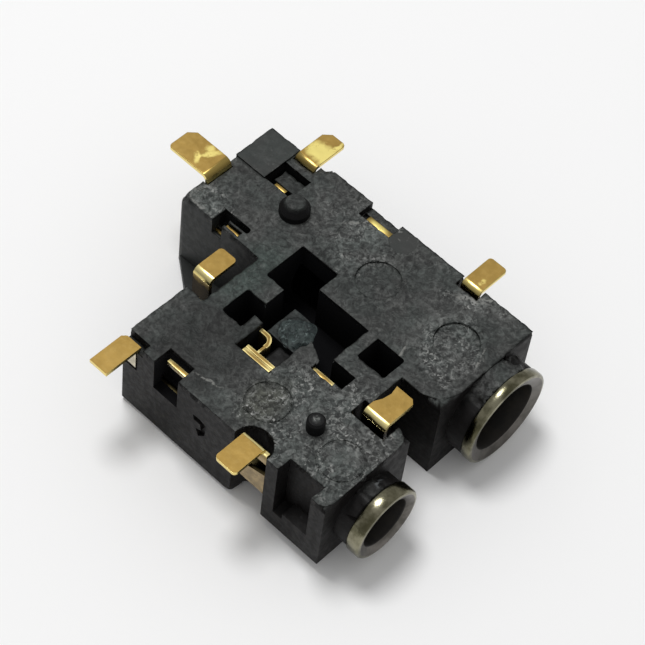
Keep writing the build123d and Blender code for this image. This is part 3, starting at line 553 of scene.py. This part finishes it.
def grid_cut(shape, faces, axis, places):
    """Cuts the faces at each place along the axis. The list is halved each time, which keeps it quick."""
    if not places or not faces:
        return faces
    middle = len(places) // 2
    where = places[middle]
    point, along = Vector((0, 0, 0)), Vector((0, 0, 0))
    point[axis] = where
    along[axis] = 1
    crossed = []
    for face in faces:
        span = [corner.co[axis] for corner in face.verts]
        if min(span) < where - CUT_PAST and max(span) > where + CUT_PAST:
            crossed.append(face)
    if crossed:
        edges = list(dict.fromkeys(edge for face in crossed for edge in face.edges))
        corners = list(dict.fromkeys(corner for face in crossed for corner in face.verts))
        done = bmesh.ops.bisect_plane(
            shape, geom=corners + edges + crossed, plane_co=point, plane_no=along, dist=CUT_ON
        )
        made = [part for part in done["geom"] if isinstance(part, bmesh.types.BMFace)]
        faces = list(dict.fromkeys(faces + made))
    low = [face for face in faces if face.calc_center_median()[axis] < where]
    high = [face for face in faces if face.calc_center_median()[axis] >= where]
    return grid_cut(shape, low, axis, places[:middle]) + grid_cut(shape, high, axis, places[middle + 1:])


def spaced(low, high, step):
    return [low + step * (k + 0.5) for k in range(int((high - low) / step))]


# Wear: how far down it reaches on slopes and on walls, and how deep it goes. A slope is the Z of a normal.
WORN_GRID = 0.14
WORN_LOW = -1.2
WORN_LOW_FADE = 0.8
WORN_WALL = -0.3
WORN_WALL_FADE = 0.2
FACE_RIPPLE = 0.045
EDGE_RIPPLE = 0.11
EDGE_NICK = 0.5
FACE_GROWTH = 0.02
EDGE_GROWTH = 0.005
WALL_SLOPE = 0.05
LOW_SLOPE = 0.1
EDGE_SLOPE = 0.15
FACE_SLOPE = 0.96

# Worn front corners as x, y, reach and the way in, and the pegs with the room that is left alone round them
WORN_CORNERS = (
    (-3.05, -11.8, 1.2, 0.7, 0.7),
    (-5.05, -11.87, 0.6, -0.7, 0.7),
    (-10.3, -11.87, 0.5, 0.7, 0.7),
)
CORNER_DEPTH = 0.45
CORNER_FADE = 0.25
PEG_ROOM = ((*LARGE_PEG, 0.85), (*SMALL_PEG, 0.55))
PEG_FADE = 0.3


def share_between(value, length):
    """The value as a share of the length, held from 0 to 1."""
    return min(max(value / length, 0), 1)


def wear_share(place, slope):
    """How much of the wear a point takes: none low down and none beside the pegs."""
    if slope > LOW_SLOPE:
        held = share_between(place.z - WORN_LOW, WORN_LOW_FADE)
    else:
        held = share_between(place.z - WORN_WALL, WORN_WALL_FADE)
    for x, y, room in PEG_ROOM:
        held *= share_between((Vector((x, y)) - place.xy).length - room, PEG_FADE)
    return held


def wear_depth(place, slope):
    """How deep the noise goes at a point: ripples on the face, and ripples and nicks along the edges."""
    ripple = noise.noise(place * 2.6) + 0.7 * noise.noise(place * 5.3 + Vector((7, 3, 1)))
    depth = FACE_RIPPLE * ripple
    if EDGE_SLOPE < slope < FACE_SLOPE:
        nick = max(noise.noise(place * 2.1 + Vector((31, 5, 9))) - 0.2, 0)
        depth += EDGE_RIPPLE * max(ripple + 0.3, 0) + EDGE_NICK * nick
    return max(depth, -FACE_GROWTH if slope > FACE_SLOPE else -EDGE_GROWTH)


def corner_move(place):
    """How far a point near a worn front corner moves in."""
    move = Vector((0, 0, 0))
    for x, y, reach, way_x, way_y in WORN_CORNERS:
        far = (Vector((x, y)) - place.xy).length
        if far < reach and place.z > WORN_WALL:
            share = (1 - far / reach) ** 1.2 * share_between(place.z - WORN_WALL, CORNER_FADE)
            move += Vector((way_x, way_y, 0)) * (share * reach * CORNER_DEPTH)
    return move


def is_wall(face):
    return abs(face.normal.z) < WALL_SLOPE


def wear(shape):
    """Moves the upper faces by noise: a little on the board face, and more along its edges, which become
    uneven as on the real moulding. The face round the gate is first sunk to the island."""
    grid_cut(shape, [face for face in shape.faces if is_wall(face)], 2, [WORN_WALL])
    faces = [
        face for face in shape.faces
        if face.calc_center_median().z > (WORN_LOW if face.normal.z > WALL_SLOPE else WORN_WALL)
    ]
    for axis in (0, 1):
        spots = [corner.co[axis] for face in faces for corner in face.verts]
        faces = grid_cut(shape, faces, axis, spaced(min(spots), max(spots), WORN_GRID))
    shape.normal_update()
    for corner in shape.verts:
        if (corner.co.xy - Vector(GATE)).length < ISLAND_REACH and corner.co.z > ISLAND:
            corner.co.z = ISLAND
    moves = []
    for corner in shape.verts:
        place, slope = corner.co, corner.normal.z
        # A point low on a wall moves only along Z, so that the wall stays flat
        on_wall = place.z < WORN_WALL + 0.01 and any(is_wall(face) for face in corner.link_faces)
        way = Vector((0, 0, 1)) if on_wall else corner.normal
        moves.append(corner_move(place) - way * (wear_depth(place, slope) * wear_share(place, slope)))
    for corner, move in zip(shape.verts, moves):
        corner.co += move


# Points this close are joined, flatter edges than this are dissolved, and sharper ones are rounded
WELD = 0.002
FLAT_ANGLE = math.radians(0.6)
SHARP_ANGLE = math.radians(28)


def rounded(node, name, width, material, slot, change=None):
    """The CAD node's shape with its sharp edges rounded to the width."""
    shape = bmesh.new()
    shape.from_mesh(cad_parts[node].data)
    bmesh.ops.scale(shape, vec=(1 / MM,) * 3, verts=shape.verts)
    bmesh.ops.remove_doubles(shape, verts=shape.verts, dist=WELD)
    bmesh.ops.dissolve_limit(
        shape, angle_limit=FLAT_ANGLE, verts=shape.verts, edges=shape.edges, delimit=set()
    )
    sharp = [
        edge for edge in shape.edges
        if len(edge.link_faces) == 2 and edge.calc_face_angle(0) > SHARP_ANGLE
    ]
    bmesh.ops.bevel(
        shape,
        geom=sharp,
        offset=width,
        offset_type="OFFSET",
        segments=2,
        profile=0.5,
        affect="EDGES",
        clamp_overlap=True,
    )
    if change:
        shape.normal_update()
        change(shape)
    bmesh.ops.scale(shape, vec=(MM,) * 3, verts=shape.verts)
    weighted(piece_from(mesh_from(shape, name), name, [material], slot, node))


def scar(name, centre, base, height, radius, material, slot, rings=14, steps=72):
    """A low torn lump, from a disc of points that noise moves up, down and sideways."""
    shape = bmesh.new()
    loops = []
    for ring in range(rings + 1):
        share = ring / rings
        loop = []
        for step in range(steps if ring else 1):
            angle = 2 * math.pi * step / steps
            flat = Vector((math.cos(angle), math.sin(angle), 0)) * share
            ragged = 1 + 0.3 * noise.noise(flat * 1.1 + Vector((4, 9, 2))) * share
            lump = 0.8 * noise.noise(flat * 2.3 + Vector((1, 6, 8))) + 0.25 * noise.noise(flat * 5.0)
            rise = max(1 - share ** 3 + lump * (1 - share ** 6), 0) * height
            spot = Vector((*centre, base)) + flat * (radius * ragged) + Vector((0, 0, rise))
            loop.append(shape.verts.new(spot * MM))
        loops.append(loop)
    middle = loops[0][0]
    for step in range(steps):
        after = (step + 1) % steps
        shape.faces.new((middle, loops[1][step], loops[1][after]))
        for here, there in zip(loops[1:-1], loops[2:]):
            shape.faces.new((here[step], there[step], there[after], here[after]))
    for face in shape.faces:
        face.smooth = True
    piece_from(mesh_from(shape, name), name, [material], slot)


# Materials of a mouth ring, and the one that each line of its section has
BARREL, MOUTH, BORE = 0, 1, 2
RING_LOOKS = (BORE, BORE, MOUTH, MOUTH, BARREL, BARREL, BARREL, BARREL, BARREL, BARREL, BARREL, BORE, BORE)
RING_SHARP_ANGLE = math.radians(40)
RING_EDGE = 0.07
SHANK_LENGTH = 1.2


def ring_profile(bore, outer, shank_wall, bevel, nose_front, length):
    """The mouth ring's section as a closed list of (radius, y), with small rounds on its turned edges."""
    mouth = nose_front - length
    back = nose_front + SHANK_LENGTH
    return [
        (bore, back),
        (bore, mouth + 0.23),
        (bore + 0.03, mouth + 0.17),
        (bore + bevel - 0.05, mouth + 0.02),
        (bore + bevel, mouth),
        (outer - 2.2 * RING_EDGE, mouth),
        (outer - 0.7 * RING_EDGE, mouth + 0.4 * RING_EDGE),
        (outer, mouth + 1.5 * RING_EDGE),
        (outer, nose_front - RING_EDGE),
        (outer - 0.3 * RING_EDGE, nose_front - 0.3 * RING_EDGE),
        (outer - RING_EDGE, nose_front),
        (bore + shank_wall, nose_front),
        (bore + shank_wall, back),
    ]


def mouth_ring(node, name, axis_x, axis_z, profile, steps=144):
    """A nickel ring turned about an axis along Y."""
    shape = bmesh.new()
    loops = []
    for step in range(steps):
        angle = 2 * math.pi * step / steps
        loops.append([
            shape.verts.new((
                (axis_x + radius * math.sin(angle)) * MM,
                y * MM,
                (axis_z + radius * math.cos(angle)) * MM,
            ))
            for radius, y in profile
        ])
    for here, there in zip(loops, loops[1:] + loops[:1]):
        for k, look in enumerate(RING_LOOKS):
            n = (k + 1) % len(profile)
            face = shape.faces.new((here[k], here[n], there[n], there[k]))
            face.material_index = look
            face.smooth = True
    bmesh.ops.recalc_face_normals(shape, faces=shape.faces)
    mesh = mesh_from(shape, name)
    piece_from(mesh, name, nickel, "nickel_plating", node)
    mesh.set_sharp_from_angle(angle=RING_SHARP_ANGLE)


# Moulding and gate scar
HOUSING_EDGE = 0.05
SCAR_SINK = 0.03
SCAR_HEIGHT = 0.22
SCAR_RADIUS = 0.86
rounded("housing", "moulding", HOUSING_EDGE, Moulding().finished(), "black_moulding", change=wear)
scar("gate_scar", GATE, ISLAND - SCAR_SINK, SCAR_HEIGHT, SCAR_RADIUS, gate_look(), "black_moulding")

# Contacts. Highlight patches are places of painted lemon highlight, each patch given as for the moulding,
# with an amount.
CONTACTS = {
    "large_sleeve_contact": dict(
        name="gold_plating", leg=OLIVE, crest_highlight=(0.66, 0.53, 0.19),
        highlight_patches=((3.3, -8.5, 0, 0.18, 0.1, 0.5, 0.8),),
    ),
    "large_ring_contact": dict(
        name="gold_right_rear", leg=OLIVE, crest_highlight=(0.34, 0.25, 0.08),
        highlight_patches=(
            (3.25, 1.55, 10, 0.5, 0.7, 0.4, 1.0),
            (3.6, 1.12, 0, 0.9, 0.12, 0.5, 1.0),
            (2.62, -3.0, 90, 0.6, 0.3, 0.5, 1.0),
        ),
    ),
    "large_tip_contact": dict(
        name="gold_wide_foot", leg=OLIVE, crest_highlight=(0.40, 0.29, 0.085),
        highlight_patches=(
            (-0.75, 4.7, -30, 0.5, 0.14, 0.5, 0.9),
            (-1.3, 5.0, 40, 0.3, 0.12, 0.5, 0.8),
            (-0.5, 4.95, 10, 0.2, 0.2, 0.5, 0.8),
        ),
    ),
    "small_tip_contact": dict(name="gold_by_bridge", leg=BROWN, tone=0.84, leg_metal=0.3),
    "small_switch_contact": dict(name="gold_left_rear", leg=PALE, tone=0.75),
    "small_ring_contact": dict(name="gold_left_front", leg=TAN, tone=0.73),
    "small_sleeve_contact": dict(name="gold_between", leg=BROWN, tone=0.85),
}
CONTACT_EDGE = 0.035
TIGHT_EDGE = 0.02
TIGHT = "small_tip_contact"
for contact, look in CONTACTS.items():
    width = TIGHT_EDGE if contact == TIGHT else CONTACT_EDGE
    rounded(contact, contact + "_plated", width, gold_look(**look), "gold_plating")

# Mouth rings
nickel = [
    nickel_look("nickel_plating", "barrel"),
    nickel_look("nickel_mouth", "mouth"),
    nickel_look("ring_bore", "bore"),
]
large_profile = ring_profile(
    bore=1.8, outer=2.5, shank_wall=0.3, bevel=0.53, nose_front=-12.72, length=0.53
)
small_profile = ring_profile(
    bore=1.28, outer=1.87, shank_wall=0.2, bevel=0.41, nose_front=-12.62, length=0.73
)
mouth_ring("mouth_ring_large", "large_mouth_ring", 0.2, -2.5, large_profile)
mouth_ring("mouth_ring_small", "small_mouth_ring", -7.7, -2.38, small_profile)

# Floor
FLOOR_GAP = 0.02
floor_mesh = bpy.data.meshes.new("floor")
floor_mesh.from_pydata([(-1, -1, 0), (1, -1, 0), (1, 1, 0), (-1, 1, 0)], [], [(0, 1, 2, 3)])
floor = bpy.data.objects.new("floor", floor_mesh)
bpy.context.scene.collection.objects.link(floor)
floor.location = (0, 0, cad_low[2] - FLOOR_GAP * MM)
floor_mesh.materials.append(Look("pale_floor").set(Base_Color=(0.95, 0.95, 0.95), Roughness=0.8))

# Light: an even studio, a lamp above and a faint one at the left front. The lamps are aimed in metres.
AIM = Vector((-0.0035, -0.004, -0.003))
world = bpy.data.worlds.new("studio")
bpy.context.scene.world = world
world.use_nodes = True
world.node_tree.nodes["Background"].inputs["Color"].default_value = (1, 1, 1, 1)
world.node_tree.nodes["Background"].inputs["Strength"].default_value = 0.5


def softbox(name, direction, distance, size, power):
    """A round lamp, in metres and watts, that shines at the part from the direction."""
    lamp = bpy.data.lights.new(name, "AREA")
    lamp.shape = "DISK"
    lamp.size = size
    lamp.energy = power
    light = bpy.data.objects.new(name, lamp)
    bpy.context.scene.collection.objects.link(light)
    along = Vector(direction).normalized()
    light.location = AIM + along * distance
    light.rotation_mode = "QUATERNION"
    light.rotation_quaternion = along.to_track_quat("Z", "Y")


softbox("key", direction=(0.05, 0.28, 0.955), distance=0.35, size=0.12, power=0.62)
softbox("fill", direction=(-0.7, -0.6, 0.45), distance=0.5, size=0.4, power=0.05)

# Camera at the photograph's angle
CAMERA_PLACE = (-50.829, -41.101, 82.690)
CAMERA_AZIMUTH = math.radians(-52.776)
CAMERA_ELEVATION = math.radians(54.281)
CAMERA_ROLL = math.radians(8.271)
camera_data = bpy.data.cameras.new("camera")
camera_data.lens = 129.72
camera_data.sensor_width = 36
camera_data.clip_start = 0.005
camera_data.clip_end = 10
camera = bpy.data.objects.new("camera", camera_data)
bpy.context.scene.collection.objects.link(camera)
forward = Vector((
    -math.sin(CAMERA_AZIMUTH) * math.cos(CAMERA_ELEVATION),
    math.cos(CAMERA_AZIMUTH) * math.cos(CAMERA_ELEVATION),
    -math.sin(CAMERA_ELEVATION),
))
level = Vector((math.cos(CAMERA_AZIMUTH), math.sin(CAMERA_AZIMUTH), 0))
upright = level.cross(forward)
right = math.cos(CAMERA_ROLL) * level + math.sin(CAMERA_ROLL) * upright
up = -math.sin(CAMERA_ROLL) * level + math.cos(CAMERA_ROLL) * upright
facing = Matrix((right, up, -forward)).transposed()
camera.matrix_world = Matrix.Translation(Vector(CAMERA_PLACE) * MM) @ facing.to_4x4()
bpy.context.scene.camera = camera
bpy.context.scene.view_settings.view_transform = "Standard"
